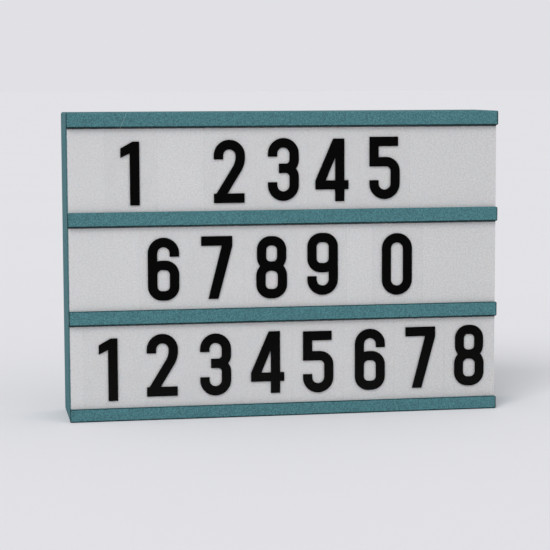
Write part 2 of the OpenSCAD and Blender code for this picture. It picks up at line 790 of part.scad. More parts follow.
module switch_body() {
    wall_x = (switch_size[0] - switch_cavity_x) / 2;
    color([0.1, 0.1, 0.1]) difference() {
        union() {
            slab(pocket_y, pocket_y + bezel_t) translate([switch_x, pocket_z])
                rounded_rect(bezel_size, 1);
            slab(pocket_y - switch_depth, pocket_y) translate([switch_x, pocket_z])
                square(switch_size, center = true);
        }
        slab(pocket_y - 6.3, pocket_y) translate([switch_x, pocket_z])
            square([switch_cavity_x, switch_size[1] - 1.6], center = true);
        slab(pocket_y - 0.1, pocket_y + bezel_t + over) translate([switch_x, pocket_z])
            square([switch_cavity_x, bezel_size[1] - 2.2], center = true);
        translate([switch_x, 0, 0])
            bar_x(rocker_y, pocket_z, switch_cavity_x + 2 * (wall_x - 0.3), trunnion_r + 0.1);
    }
}

// The rocker at rest is tilted to off. Its face is a shallow V about the pivot.
module switch_rocker() {
    color([0.08, 0.08, 0.08]) translate([switch_x, rocker_y, pocket_z]) rotate([-rocker_tilt, 0, 0]) {
        along_x(rocker_w) polygon([[4.4, -5.4], [3.5, 0], [4.4, 5.4],
            [0.5, 4.6], [-2, 1.5], [-2, -1.5], [0.5, -4.6]]);
        rotate([0, 90, 0]) cylinder(h = switch_cavity_x + 0.8, r = trunnion_r, center = true);
    }
}

module switch_terminals() {
    y1 = pocket_y - switch_depth;
    color("gold") for (z = [pocket_z - terminal_z, pocket_z + terminal_z]) difference() {
        block([switch_x - 1.4, y1 - terminal_len, z - 0.4], [switch_x + 1.4, y1, z + 0.4]);
        translate([switch_x, y1 - 3, z]) cylinder(h = 4, d = 1.2, center = true);
    }
}

// The inner wires run in two layers between the tray and the back cover's fittings.
// Each ends square on the control board's front edge, at its own place along the edge.
near_layer = tray_y1 + 0.75;
far_layer = tray_y1 + 2.15;
edge_z = control_top - board_t / 2;
function onto_board(x, layer) =
    [[x, layer + 0.2, edge_z], [x, control_y0 - 0.6, edge_z], [x, control_y0, edge_z]];

module battery_wires() {
    start = [bay_w / 2, terminal_y, cell_z(0)];
    out = bay_w / 2 + bay_wall + 2.6;
    deep = near_layer;
    red_end = usb_x - 9;
    black_end = usb_x - 6;
    red = concat([start, [out, start[1], start[2]], [out + 2, start[1] - 1.2, start[2] + 0.3],
            [out + 3.5, start[1] - 4, start[2] + 1.2], [out + 5, deep + 1.3, start[2] + 3],
            [out + 7.5, deep, start[2] + 5], [red_end - 10, deep, edge_z + 1],
            [red_end - 2, deep, edge_z + 1.2]],
        onto_board(red_end, deep));
    black = concat([[-start[0], start[1], start[2]], [-out, start[1], start[2]],
            [-out - 2, start[1] - 1.2, start[2]], [-out - 2.8, start[1] - 4, start[2] - 0.3],
            [-out - 2, deep + 1.2, start[2] - 0.8], [-out + 0.5, deep, start[2] - 1.5],
            [0, deep, start[2] - 3], [out, deep, start[2] - 1], [black_end - 14, deep, edge_z - 5],
            [black_end - 3, deep, edge_z - 1.4]],
        onto_board(black_end, deep));
    color("red") tube(red, wire_r, 8, [1, 0, 0], [0, 1, 0]);
    color([0.1, 0.1, 0.1]) tube(black, wire_r, 8, [-1, 0, 0], [0, 1, 0]);
}

module switch_wires() {
    tip = pocket_y - switch_depth - terminal_len;
    function lead(z, x_end, z_run) = concat(
        [[switch_x, tip, z], [switch_x, tip - 0.4, z], [switch_x + 1.2, far_layer, z],
            [usb_x - 12, far_layer, z_run], [x_end - 3, far_layer, z_run]],
        [[x_end - 0.8, far_layer, edge_z + 0.3 * (z_run - edge_z)], [x_end, far_layer + 0.3, edge_z],
            [x_end, control_y0, edge_z]]);
    color("white") {
        tube(lead(pocket_z + terminal_z, usb_x - 3, edge_z + 3.2), wire_r, 8, [0, -1, 0], [0, 1, 0]);
        tube(lead(pocket_z - terminal_z, usb_x, edge_z - 3), wire_r, 8, [0, -1, 0], [0, 1, 0]);
    }
}

module led_feed_wires() {
    board_mid_y = board_y + board_t / 2;
    front_y = board_mid_y - 0.4;
    hole_z = feed_hole[1];
    function lead(x_start, x_hole, z_end, swing) = [[x_start, control_y0, edge_z],
        [x_start, near_layer + 0.9, edge_z], [x_start - 0.4, near_layer + 0.2, edge_z + 1.6],
        [x_hole + 0.4, near_layer - 0.1, hole_z - 1.4], [x_hole, tray_y0 + tray_t / 2, hole_z],
        [x_hole - 0.4, front_y, hole_z - 1.8], [x_hole - 1.2, front_y, hole_z - 5],
        [board_end + swing, front_y, z_end + 2.6], [board_end + 1, board_mid_y, z_end + 0.2],
        [board_end, board_mid_y, z_end]];
    outer = lead(usb_x + 4.5, feed_hole[0] + 1.3, row_mid(0) + 2, 2.8);
    inner = lead(usb_x + 2, feed_hole[0] - 1.3, row_mid(0) + 4, 1.4);
    color("red") for (path = [outer, inner]) tube(path, wire_r, 8, [0, -1, 0], [-1, 0, 0]);
}

housing();
front_panel();
top_rail();
middle_rail(2);  // upper_rail
middle_rail(1);  // lower_rail
bottom_rail();
rail_screws();
rail_washers();
back_cover();
cover_screws();
battery_door();
aa_cells();
contact_plates();
contact_springs();
reflector_tray();
tray_screws();
led_board(2);  // led_board_top
led_board(1);  // led_board_middle
led_board(0);  // led_board_bottom
led_chips();
led_resistors();
led_jumper_wires();
control_board();
control_board_parts();
usb_socket();
switch_body();
switch_rocker();
switch_terminals();
battery_wires();
switch_wires();
led_feed_wires();
tile(top_starts[0], 2);  // tile_top_1
tile(top_starts[1], 2);  // tile_top_2
tile(top_starts[2], 2);  // tile_top_3
tile(top_starts[3], 2);  // tile_top_4
tile(top_starts[4], 2);  // tile_top_5
tile(middle_starts[0], 1);  // tile_middle_1
tile(middle_starts[1], 1);  // tile_middle_2
tile(middle_starts[2], 1);  // tile_middle_3
tile(middle_starts[3], 1);  // tile_middle_4
tile(middle_starts[4], 1);  // tile_middle_5
tile(bottom_starts[0], 0);  // tile_bottom_1
tile(bottom_starts[1], 0);  // tile_bottom_2
tile(bottom_starts[2], 0);  // tile_bottom_3
tile(bottom_starts[3], 0);  // tile_bottom_4
tile(bottom_starts[4], 0);  // tile_bottom_5
tile(bottom_starts[5], 0);  // tile_bottom_6
tile(bottom_starts[6], 0);  // tile_bottom_7
tile(bottom_starts[7], 0);  // tile_bottom_8
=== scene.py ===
import json
import math

import bmesh
import bpy
from mathutils import Matrix, Vector


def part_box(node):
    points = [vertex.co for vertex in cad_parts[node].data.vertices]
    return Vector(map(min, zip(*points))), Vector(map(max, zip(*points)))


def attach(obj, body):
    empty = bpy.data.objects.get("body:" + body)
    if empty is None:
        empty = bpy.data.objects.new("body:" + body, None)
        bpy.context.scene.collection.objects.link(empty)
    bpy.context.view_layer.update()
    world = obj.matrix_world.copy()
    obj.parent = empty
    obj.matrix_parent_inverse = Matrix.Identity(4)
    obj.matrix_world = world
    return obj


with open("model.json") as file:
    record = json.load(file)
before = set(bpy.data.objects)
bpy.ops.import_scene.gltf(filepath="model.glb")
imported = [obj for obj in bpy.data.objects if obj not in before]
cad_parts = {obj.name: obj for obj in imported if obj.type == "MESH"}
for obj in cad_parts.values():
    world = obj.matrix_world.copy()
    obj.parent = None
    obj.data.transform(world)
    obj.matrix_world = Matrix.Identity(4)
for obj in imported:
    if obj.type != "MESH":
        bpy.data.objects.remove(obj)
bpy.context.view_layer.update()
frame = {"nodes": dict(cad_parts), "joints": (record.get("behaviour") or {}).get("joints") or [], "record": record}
MM = 0.001

RAILS = ("bottom_rail", "lower_rail", "upper_rail", "top_rail")

# Colours, as linear red, green and blue
TEAL = (0.066, 0.173, 0.193)
SCRATCH = (0.3, 0.42, 0.43)
MILKY_WHITE = (0.645, 0.645, 0.652)
CLEAR_FILM = (0.74, 0.74, 0.74)
BLACK_INK = (0.0014, 0.0014, 0.0013)
WHITE_INK = (0.7, 0.7, 0.7)
WHITE_PLASTIC = (0.78, 0.78, 0.77)
BLACK_PLASTIC = (0.018, 0.018, 0.019)
SOCKET_BLACK = (0.015, 0.015, 0.016)
PART_BLACK = (0.02, 0.02, 0.021)
BOARD_WHITE = (0.75, 0.75, 0.73)
BOARD_GREEN = (0.02, 0.14, 0.05)
CHIP_YELLOW = (0.8, 0.62, 0.1)
STEEL = (0.62, 0.63, 0.64)
SPRING_STEEL = (0.74, 0.73, 0.7)
BRASS = (0.72, 0.53, 0.22)
COPPER = (0.55, 0.27, 0.12)
SLEEVE = (0.02, 0.021, 0.024)
SLEEVE_LIGHT = (0.03, 0.031, 0.034)
WIRE_RED = (0.45, 0.02, 0.02)
WIRE_WHITE = (0.7, 0.7, 0.68)
PAPER = (0.792, 0.792, 0.824)
BACKDROP = (0.753, 0.753, 0.784)


def shade(colour, k):
    """A colour k times as bright."""
    return tuple(c * k for c in colour)


# ------------------------------------------------------------------ node helpers

# A Mix node's sockets for each kind of data: the two inputs and the output
MIX_SOCKETS = {"FLOAT": (2, 3, 0), "RGBA": (6, 7, 2)}


def feed(tree, socket, value):
    """Give a socket a number, a colour or another socket's value."""
    if isinstance(value, bpy.types.NodeSocket):
        tree.links.new(value, socket)
    elif isinstance(value, tuple):
        socket.default_value = (*value, 1.0)
    else:
        socket.default_value = value


def new_material(name):
    """A material with an empty Principled set-up: the tree, its shader and the object coordinates."""
    material = bpy.data.materials.new(name)
    material.use_nodes = True
    tree = material.node_tree
    shader = tree.nodes["Principled BSDF"]
    coords = tree.nodes.new("ShaderNodeTexCoord").outputs["Object"]
    return material, tree, shader, coords


def noise(tree, coords, size, detail, rough, stretch=None):
    """Noise with features of about that size in metres. stretch scales the coordinates on each axis."""
    node = tree.nodes.new("ShaderNodeTexNoise")
    node.inputs["Scale"].default_value = 1.0 / size
    node.inputs["Detail"].default_value = detail
    node.inputs["Roughness"].default_value = rough
    if stretch:
        mapping = tree.nodes.new("ShaderNodeMapping")
        mapping.inputs["Scale"].default_value = stretch
        tree.links.new(coords, mapping.inputs["Vector"])
        coords = mapping.outputs["Vector"]
    tree.links.new(coords, node.inputs["Vector"])
    return node.outputs["Fac"]


def spread(tree, value, low, high, from_low=0.3, from_high=0.7):
    """A value's from_low..from_high spread over low..high, clamped. As given it suits a noise."""
    node = tree.nodes.new("ShaderNodeMapRange")
    node.inputs["From Min"].default_value = from_low
    node.inputs["From Max"].default_value = from_high
    node.inputs["To Min"].default_value = low
    node.inputs["To Max"].default_value = high
    tree.links.new(value, node.inputs["Value"])
    return node.outputs["Result"]


def calc(tree, operation, a, b=None):
    """A Math node's result. b is left out where the operation takes one value."""
    node = tree.nodes.new("ShaderNodeMath")
    node.operation = operation
    feed(tree, node.inputs[0], a)
    if b is not None:
        feed(tree, node.inputs[1], b)
    return node.outputs["Value"]


def mix(tree, value, a, b, kind="RGBA"):
    """a where value is 0 and b where it is 1. Either may be a socket."""
    node = tree.nodes.new("ShaderNodeMix")
    node.data_type = kind
    first, second, result = MIX_SOCKETS[kind]
    tree.links.new(value, node.inputs["Factor"])
    feed(tree, node.inputs[first], a)
    feed(tree, node.inputs[second], b)
    return node.outputs[result]


def bump(tree, shader, height, strength, distance):
    """Relief of that height in metres on the shader's surface."""
    node = tree.nodes.new("ShaderNodeBump")
    node.inputs["Strength"].default_value = strength
    node.inputs["Distance"].default_value = distance
    tree.links.new(height, node.inputs["Height"])
    tree.links.new(node.outputs["Normal"], shader.inputs["Normal"])


def along(tree, coords, axis):
    """The place along the X, Y or Z axis, in metres."""
    node = tree.nodes.new("ShaderNodeSeparateXYZ")
    tree.links.new(coords, node.inputs["Vector"])
    return node.outputs[axis]


def nearest(tree, value, places):
    """How far a value is from the nearest of some places."""
    least = None
    for place in places:
        gap = calc(tree, "ABSOLUTE", calc(tree, "SUBTRACT", value, place))
        least = gap if least is None else calc(tree, "MINIMUM", least, gap)
    return least


def border(tree, coords, gap, inner, outer):
    """1 where a gap is under inner and 0 where it is over outer. The border wanders a little, so that it
    doesn't look ruled."""
    reach = 0.12 * MM
    wander = spread(tree, noise(tree, coords, size=0.003, detail=3.0, rough=0.6), -reach, reach)
    return spread(tree, calc(tree, "ADD", gap, wander), 1.0, 0.0, from_low=inner, from_high=outer)


# ------------------------------------------------------------------ materials


def moulded(name, colour, rough=0.55, grain=0.0007, contrast=0.1, grain_bump=0.35, wear=0.05, specular=0.35,
            marks=None):
    """Moulded plastic: a fine spark-eroded grain, slow colour clouds and faint handling marks.
    grain is its size in metres, contrast its strength in colour, and marks colours on top of all."""
    material, tree, shader, coords = new_material(name)
    fine = noise(tree, coords, size=grain, detail=2.0, rough=0.6)
    clouds = noise(tree, coords, size=0.045, detail=3.0, rough=0.5)
    rubs = noise(tree, coords, size=0.006, detail=4.0, rough=0.65, stretch=(0.35, 1.0, 1.0))
    speckles = spread(tree, fine, 0.0, 1.0, from_low=0.32, from_high=0.68)
    speckled = mix(tree, speckles, shade(colour, 1.0 - contrast), shade(colour, 1.0 + contrast))
    finished = mix(tree, spread(tree, clouds, 0.0, wear), speckled, shade(colour, 1.5))
    if marks:
        finished = marks(tree, coords, finished)
    tree.links.new(finished, shader.inputs["Base Color"])
    tree.links.new(spread(tree, rubs, rough - 0.07, rough + 0.09), shader.inputs["Roughness"])
    shader.inputs["Specular IOR Level"].default_value = specular
    bump(tree, shader, fine, strength=grain_bump, distance=0.12 * MM)
    return material


def rail_shade_and_scratch(tree, coords, colour):
    """Painted shade along the rails' lower edges, both ends and the lower two rails' top edges, and one long
    scratch on the top rail.
    """
    x, z = along(tree, coords, "X"), along(tree, coords, "Z")
    boxes = [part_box(rail) for rail in RAILS]
    left, right = boxes[0][0].x, boxes[0][1].x
    lows = [low.z for low, high in boxes]
    lower_highs = [high.z for low, high in boxes[:2]]

    def shade_line(value, places, width):
        """1 in a ragged line of painted shade along the nearest place, and 0 right on it, where a face turns away.
        """
        gap = nearest(tree, value, places)
        off_edge = calc(tree, "GREATER_THAN", gap, 0.05 * MM)
        return calc(tree, "MULTIPLY", border(tree, coords, gap, 0.7 * width, width), off_edge)

    # painted shade: dark lines where the rails' edges and ends fall into shade
    across = calc(tree, "MAXIMUM", shade_line(x, [left, right], 0.7 * MM), shade_line(z, lower_highs, 0.5 * MM))
    painted_shade = calc(tree, "MAXIMUM", shade_line(z, lows, 1.0 * MM), across)
    shaded = mix(tree, calc(tree, "MULTIPLY", painted_shade, 0.92), colour, shade(TEAL, 0.1))

    # the scratch leans to the right as it rises from its foot at the rail's lower edge
    lean, foot_x, foot_z = 0.42, -0.1135, lows[-1]
    line_x = calc(tree, "SUBTRACT", x, calc(tree, "MULTIPLY", z, lean))
    off_line = nearest(tree, line_x, [foot_x - lean * foot_z])
    depth = spread(tree, off_line, 0.55, 0.0, from_low=0.05 * MM, from_high=0.22 * MM)
    on_rail = calc(tree, "GREATER_THAN", z, foot_z - MM)
    return mix(tree, calc(tree, "MULTIPLY", depth, on_rail), shaded, SCRATCH)


def metal(name, colour, rough, insulated=None):
    """Plated metal: fine drawn lines and a faint haze. insulated gives where the piece is black plastic."""
    material, tree, shader, coords = new_material(name)
    lines = noise(tree, coords, size=0.0012, detail=3.0, rough=0.6, stretch=(1.0, 1.0, 0.15))
    haze = noise(tree, coords, size=0.004, detail=3.0, rough=0.6)
    finished = mix(tree, spread(tree, haze, 0.0, 1.0), shade(colour, 0.86), colour)
    shader.inputs["Metallic"].default_value = 1.0
    if insulated:
        plastic = insulated(tree, coords)
        finished = mix(tree, plastic, finished, SOCKET_BLACK)
        tree.links.new(calc(tree, "SUBTRACT", 1.0, plastic), shader.inputs["Metallic"])
    tree.links.new(finished, shader.inputs["Base Color"])
    tree.links.new(spread(tree, lines, rough - 0.08, rough + 0.14), shader.inputs["Roughness"])
    bump(tree, shader, lines, strength=0.15, distance=0.1 * MM)
    return material


def socket_tongue(tree, coords):
    """1 on the tongue in the middle of the supply socket, 0 on its shell."""
    half_width, half_height, rise = 1.85 * MM, 0.4 * MM, 0.25 * MM
    low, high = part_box("usb_socket")
    middle = (low + high) / 2
    from_side = nearest(tree, along(tree, coords, "X"), [middle.x])
    from_level = nearest(tree, along(tree, coords, "Z"), [middle.z + rise])
    return calc(tree, "MULTIPLY", calc(tree, "LESS_THAN", from_side, half_width),
                calc(tree, "LESS_THAN", from_level, half_height))


def diffuser(name, colour):
    """Milky acrylic sheet: a soft, slightly mottled white that scatters a little light, duller at the
    right. A painted shadow lies right under each rail's lip, and a painted shade line in the gap at the sheet's
    left edge."""
    material, tree, shader, coords = new_material(name)
    x, z = along(tree, coords, "X"), along(tree, coords, "Z")
    fine = noise(tree, coords, size=0.0011, detail=2.0, rough=0.6)
    clouds = noise(tree, coords, size=0.05, detail=2.0, rough=0.5)
    clouded = mix(tree, spread(tree, clouds, 0.0, 1.0), shade(colour, 0.975), shade(colour, 1.02))
    to_right = spread(tree, x, 0.0, 1.0, from_low=0.02, from_high=0.12)
    pale = mix(tree, to_right, clouded, shade(colour, 0.97))
    deep = mix(tree, to_right, shade(colour, 0.83), shade(colour, 0.76))
    grained = mix(tree, spread(tree, fine, 0.0, 1.0), pale, deep)

    # painted shade: a dark teal line in the gap at the sheet's left edge
    from_left = calc(tree, "SUBTRACT", x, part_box("front_panel")[0].x)
    gap_shaded = mix(tree, border(tree, coords, from_left, 0.3 * MM, 0.6 * MM), grained, shade(TEAL, 0.8))
    # painted shadow: a near-black line right under each rail's lip
    under_lip = nearest(tree, z, [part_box(rail)[0].z for rail in RAILS[1:]])
    lip_shaded = mix(tree, border(tree, coords, under_lip, 0.7 * MM, 1.0 * MM), gap_shaded, shade(colour, 0.06))
    tree.links.new(lip_shaded, shader.inputs["Base Color"])
    tree.links.new(spread(tree, fine, 0.42, 0.56), shader.inputs["Roughness"])
    shader.inputs["Subsurface Weight"].default_value = 0.12
    shader.inputs["Subsurface Scale"].default_value = 2.0 * MM
    shader.inputs["Specular IOR Level"].default_value = 0.35
    bump(tree, shader, fine, strength=0.1, distance=0.08 * MM)
    return material


def clear_sheet(name, colour):
    """Clear plastic film: nearly all see-through, with faint scuffs, and denser where it is seen edge on."""
    material, tree, shader, coords = new_material(name)
    scuffs = noise(tree, coords, size=0.0035, detail=5.0, rough=0.7, stretch=(0.3, 1.0, 1.0))
    smudges = noise(tree, coords, size=0.014, detail=3.0, rough=0.6)
    tree.links.new(mix(tree, spread(tree, smudges, 0.0, 1.0), shade(colour, 0.96), colour),
                   shader.inputs["Base Color"])
    tree.links.new(spread(tree, scuffs, 0.1, 0.26), shader.inputs["Roughness"])
    facing = tree.nodes.new("ShaderNodeLayerWeight")
    facing.inputs["Blend"].default_value = 0.5
    edge_on = spread(tree, facing.outputs["Facing"], 0.0, 0.35, from_low=0.55, from_high=0.9)
    face_on = spread(tree, smudges, 0.011, 0.041)
    tree.links.new(calc(tree, "ADD", face_on, edge_on), shader.inputs["Alpha"])
    shader.inputs["IOR"].default_value = 1.46
    shader.inputs["Specular IOR Level"].default_value = 0.3
    bump(tree, shader, scuffs, strength=0.04, distance=0.1 * MM)
    return material


def ink(name, colour):
    """Printed ink: near black, with pinholes and an uneven sheen. The bottom row's ink carries a painted sheen,
    lighter towards its foot.
    """
    material, tree, shader, coords = new_material(name)
    fine = noise(tree, coords, size=0.0006, detail=3.0, rough=0.65)
    patches = noise(tree, coords, size=0.008, detail=3.0, rough=0.6)
    # painted sheen: the ink lighter low down
    low_down = spread(tree, along(tree, coords, "Z"), 1.0, 0.0, from_low=0.015, from_high=0.07)
    painted_sheen = mix(tree, low_down, colour, shade(colour, 3.2))
    pinholes = spread(tree, fine, 0.0, 1.0, from_low=0.55, from_high=0.8)
    tree.links.new(mix(tree, pinholes, painted_sheen, shade(colour, 3.6)), shader.inputs["Base Color"])
    tree.links.new(spread(tree, patches, 0.5, 0.66), shader.inputs["Roughness"])
    shader.inputs["Specular IOR Level"].default_value = 0.02
    bump(tree, shader, fine, strength=0.08, distance=0.05 * MM)
    return material


def cell_wrap(name):
    """A battery's printed sleeve: a dark body with a copper band round the positive end.
    The cells point to the right in the outer rows and to the left in the middle one."""
    column_pitch, row_pitch = 59.0 * MM, 15.2 * MM
    right_band, left_band = 43.0 * MM, 17.0 * MM
    material, tree, shader, coords = new_material(name)
    fine = noise(tree, coords, size=0.0015, detail=3.0, rough=0.6)
    body = mix(tree, spread(tree, fine, 0.0, 1.0), SLEEVE, SLEEVE_LIGHT)
    low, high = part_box("aa_cells")
    from_middle = nearest(tree, along(tree, coords, "Z"), [(low.z + high.z) / 2])
    middle_row = calc(tree, "LESS_THAN", from_middle, row_pitch / 2)
    in_column = calc(tree, "MODULO", calc(tree, "ADD", along(tree, coords, "X"), column_pitch), column_pitch)
    banded = mix(tree, middle_row, calc(tree, "GREATER_THAN", in_column, right_band),
                 calc(tree, "LESS_THAN", in_column, left_band), kind="FLOAT")
    tree.links.new(mix(tree, banded, body, COPPER), shader.inputs["Base Color"])
    shader.inputs["Metallic"].default_value = 0.6
    tree.links.new(spread(tree, fine, 0.28, 0.4), shader.inputs["Roughness"])
    bump(tree, shader, fine, strength=0.05, distance=0.1 * MM)
    return material


# One finish for each of the record's material slots, and one each for the rails and the supply socket
finishes = {
    "teal_plastic": moulded("teal_plastic", TEAL, rough=0.65, contrast=0.3, wear=0.03, specular=0.025),
    "rails": moulded("teal_rails", TEAL, rough=0.65, grain=0.00075, contrast=0.4, wear=0.03, specular=0.05,
                     marks=rail_shade_and_scratch),
    "diffuser": diffuser("diffuser", MILKY_WHITE),
    "clear_tile": clear_sheet("clear_tile", CLEAR_FILM),
    "zinc_steel": metal("zinc_steel", STEEL, rough=0.32),
    "socket": metal("socket_steel", STEEL, rough=0.28, insulated=socket_tongue),
    "spring_steel": metal("spring_steel", SPRING_STEEL, rough=0.22),
    "brass_tab": metal("brass_tab", BRASS, rough=0.3),
    "white_plastic": moulded("white_plastic", WHITE_PLASTIC, rough=0.5, contrast=0.02, grain_bump=0.1),
    "light_board": moulded("light_board", BOARD_WHITE, rough=0.4, contrast=0.03, grain_bump=0.08),
    "light_chip": moulded("light_chip", CHIP_YELLOW, rough=0.35, contrast=0.05, grain_bump=0.05),
    "black_part": moulded("black_part", PART_BLACK, rough=0.5, contrast=0.2),
    "green_board": moulded("green_board", BOARD_GREEN, rough=0.38, contrast=0.12, grain_bump=0.1),
    "black_plastic": moulded("black_plastic", BLACK_PLASTIC, rough=0.42, contrast=0.15, grain_bump=0.2),
    "wire_red": moulded("wire_red", WIRE_RED, rough=0.45, contrast=0.06, grain_bump=0.1),
    "wire_white": moulded("wire_white", WIRE_WHITE, rough=0.45, contrast=0.04, grain_bump=0.1),
    "cell_wrap": cell_wrap("cell_wrap"),
}
own_finish = {rail: "rails" for rail in RAILS}
own_finish["usb_socket"] = "socket"


def dress_nodes():
    """Give every CAD node its own finish, or else its material slot's."""
    slots = {row["node"]: row["material_slot"] for row in frame["record"]["subparts"]}
    for name, obj in frame["nodes"].items():
        finish = finishes[own_finish.get(name, slots[name])]
        materials = obj.data.materials
        if not materials:
            materials.append(finish)
        for i in range(len(materials)):
            materials[i] = finish


dress_nodes()

# ------------------------------------------------------------------ flat shapes
#
# A shape is drawn in mm as a pair: its kind and its points. An "area" is an outline. A "band" is a list of
# pairs of points, one on each edge, and a "ring" is a band that closes on itself.


def arc(cx, cz, r, start, end, steps=14):
    """Points on a circle from start to end, in degrees."""
    angles = [math.radians(start + (end - start) * i / steps) for i in range(steps + 1)]
    return [(cx + r * math.cos(a), cz + r * math.sin(a)) for a in angles]


def loop(low, high, half, r):
    """A closed centre line: a rectangle with rounded corners."""
    return (arc(half - r, high - r, r, 0, 90) + arc(-half + r, high - r, r, 90, 180)
            + arc(-half + r, low + r, r, 180, 270) + arc(half - r, low + r, r, 270, 360))


def stroke(points, width, closed=False):
    """A band or ring of that width along a centre line. Points that repeat the last one are left out."""
    same = 1e-4
    sharpest = 0.4  # limits how far the band reaches out at a sharp corner
    centre = [Vector(points[0])]
    for p in points[1:]:
        if (Vector(p) - centre[-1]).length > same:
            centre.append(Vector(p))
    if closed and (centre[0] - centre[-1]).length < same:
        centre.pop()
    n = len(centre)
    pairs = []
    for i, p in enumerate(centre):
        before = p - centre[i - 1] if closed or i > 0 else centre[1] - p
        after = centre[(i + 1) % n] - p if closed or i < n - 1 else before
        onward = (before.normalized() + after.normalized()).normalized()
        normal = Vector((-onward.y, onward.x))
        across = Vector((-before.y, before.x)).normalized()
        reach = normal * (width / 2 / max(sharpest, normal.dot(across)))
        pairs.append((tuple(p + reach), tuple(p - reach)))
    return [("ring" if closed else "band", pairs)]


def area(points):
    """A filled outline."""
    return [("area", points)]


def rect(x0, z0, x1, z1):
    """A filled rectangle."""
    return area([(x0, z0), (x1, z0), (x1, z1), (x0, z1)])


def turned(shapes):
    """The same shapes, half a turn round."""
    def turn(p):
        return (-p[0], -p[1])

    return [(kind, [turn(p) if kind == "area" else (turn(p[0]), turn(p[1])) for p in points])
            for kind, points in shapes]


def add_solid(shape, front, back, verts, faces):
    """Add a shape to a mesh as a thin solid. front and back turn its points into places in metres."""
    kind, points = shape
    first, n = len(verts), len(points)
    if kind == "area":
        verts += [back(p) for p in points] + [front(p) for p in points]
        faces.append([first + n + i for i in range(n)])
        faces.append([first + n - 1 - i for i in range(n)])
        faces += [[first + i, first + (i + 1) % n, first + n + (i + 1) % n, first + n + i] for i in range(n)]
        return
    for a, b in points:
        verts += [front(a), front(b), back(b), back(a)]
    for i in range(n if kind == "ring" else n - 1):
        here = first + 4 * i
        there = first + 4 * ((i + 1) % n)
        faces += [[here + k, here + (k + 1) % 4, there + (k + 1) % 4, there + k] for k in range(4)]
    if kind == "band":
        last = first + 4 * (n - 1)
        faces += [[first + 3, first + 2, first + 1, first], [last, last + 1, last + 2, last + 3]]


def link_piece(name, verts, faces, material, body):
    """A closed mesh as a piece that rides on a body."""
    mesh = bpy.data.meshes.new(name)
    mesh.from_pydata(verts, [], faces)
    edit = bmesh.new()
    edit.from_mesh(mesh)
    bmesh.ops.recalc_face_normals(edit, faces=edit.faces[:])
    edit.to_mesh(mesh)
    edit.free()
    mesh.materials.append(material)
    obj = bpy.data.objects.new(name, mesh)
    bpy.context.scene.collection.objects.link(obj)
    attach(obj, body)


# ------------------------------------------------------------------ printed figures

# Sizes in mm
FIGURE_H = 43.2
FIGURE_W = 21.6
PEN_W = 6.6
INK_T = 0.08
INK_STEP = 0.02   # each shape of a figure stands this much prouder, so that no two faces share a plane
TOP, SIDE = FIGURE_H / 2, FIGURE_W / 2
PEN_TOP, PEN_SIDE = TOP - PEN_W / 2, SIDE - PEN_W / 2   # where the middle of the pen runs
TOP_BOW = (0, PEN_TOP - PEN_SIDE, PEN_SIDE)             # the round top's centre and radius
FOOT_BOW = (0, PEN_SIDE - PEN_TOP, PEN_SIDE)


def pen(points, closed=False):
    """A stroke of a figure."""
    return stroke(points, PEN_W, closed)


# Each figure is drawn round its own middle
SIX = (pen(loop(-PEN_TOP, 2.6, PEN_SIDE, 6.4), closed=True)
       + pen([(PEN_SIDE, 8.4)] + arc(*TOP_BOW, 0, 180) + [(-PEN_SIDE, -8.0)]))
FIGURES = {
    "0": pen(loop(-PEN_TOP, PEN_TOP, PEN_SIDE, PEN_SIDE), closed=True),
    "1": area([(5.3, -TOP), (5.3, TOP), (0.6, TOP), (-7.6, 17.0), (-7.6, 10.6), (-1.3, 13.6), (-1.3, -TOP)]),
    "2": pen([(-PEN_SIDE, 8.2)] + arc(*TOP_BOW, 180, 0)
             + [(PEN_SIDE, 8.4), (PEN_SIDE - 0.5, 5.6), (PEN_SIDE - 1.8, 2.4), (-6.6, -17.4)])
    + rect(-SIDE, -TOP, SIDE - 0.4, -TOP + PEN_W),
    "3": pen([(-PEN_SIDE, 8.8)] + arc(*TOP_BOW, 180, 0)
             + arc(PEN_SIDE - 5.6, 6.4, 5.6, 0, -90) + [(-3.2, 0.8)])
    + pen([(-3.2, 0.8)] + arc(PEN_SIDE - 5.8, -5.0, 5.8, 90, 0)
          + arc(*FOOT_BOW, 0, -180) + [(-PEN_SIDE, -8.6)]),
    "4": rect(2.3, -TOP, 8.9, TOP) + rect(-11.6, -13.4, 11.8, -7.1)
    + area([(0.9, TOP), (7.9, TOP), (-4.6, -8.0), (-11.6, -8.0), (-11.6, -7.2)]),
    "5": rect(-SIDE, TOP - PEN_W, SIDE - 1.2, TOP) + rect(-SIDE, 1.0, -SIDE + PEN_W, TOP)
    + pen([(-SIDE + 0.4, 4.3)] + arc(PEN_SIDE - 6.4, -2.1, 6.4, 90, 0) + arc(*FOOT_BOW, 0, -180)
          + [(-PEN_SIDE, -8.4)]),
    "6": SIX,
    "7": rect(-SIDE, TOP - PEN_W, SIDE, TOP)
    + area([(SIDE, TOP - PEN_W - 0.4), (SIDE, TOP - 2), (3.4, TOP - 2), (3.4, TOP - PEN_W),
            (-6.0, -TOP), (1.0, -TOP)]),
    "8": pen(loop(0.8, PEN_TOP, PEN_SIDE - 0.5, 6.2), closed=True)
    + pen(loop(-PEN_TOP, 0.8, PEN_SIDE, 6.6), closed=True),
    "9": turned(SIX),
}

# What each row's tiles say from left to right. After the figure: how far its middle stands right of the
# tile's, and its foot above the tile's lower edge, in mm.
PRINTS = {
    "top": [("1", 0.4, 6.7), ("2", -0.2, 7.4), ("3", 1.0, 8.3), ("4", -1.3, 7.6), ("5", -0.2, 8.6)],
    "middle": [("6", -1.2, 8.3), ("7", -0.7, 8.7), ("8", 1.2, 8.1), ("9", 0.8, 9.7), ("0", -0.6, 8.6)],
    "bottom": [("1", 0.3, 7.1), ("2", 0.0, 9.3), ("3", 0.6, 8.6), ("4", 0.6, 9.1),
               ("5", 0.2, 8.4), ("6", 0.8, 9.0), ("7", 0.8, 9.4), ("8", 0.0, 9.9)],
}


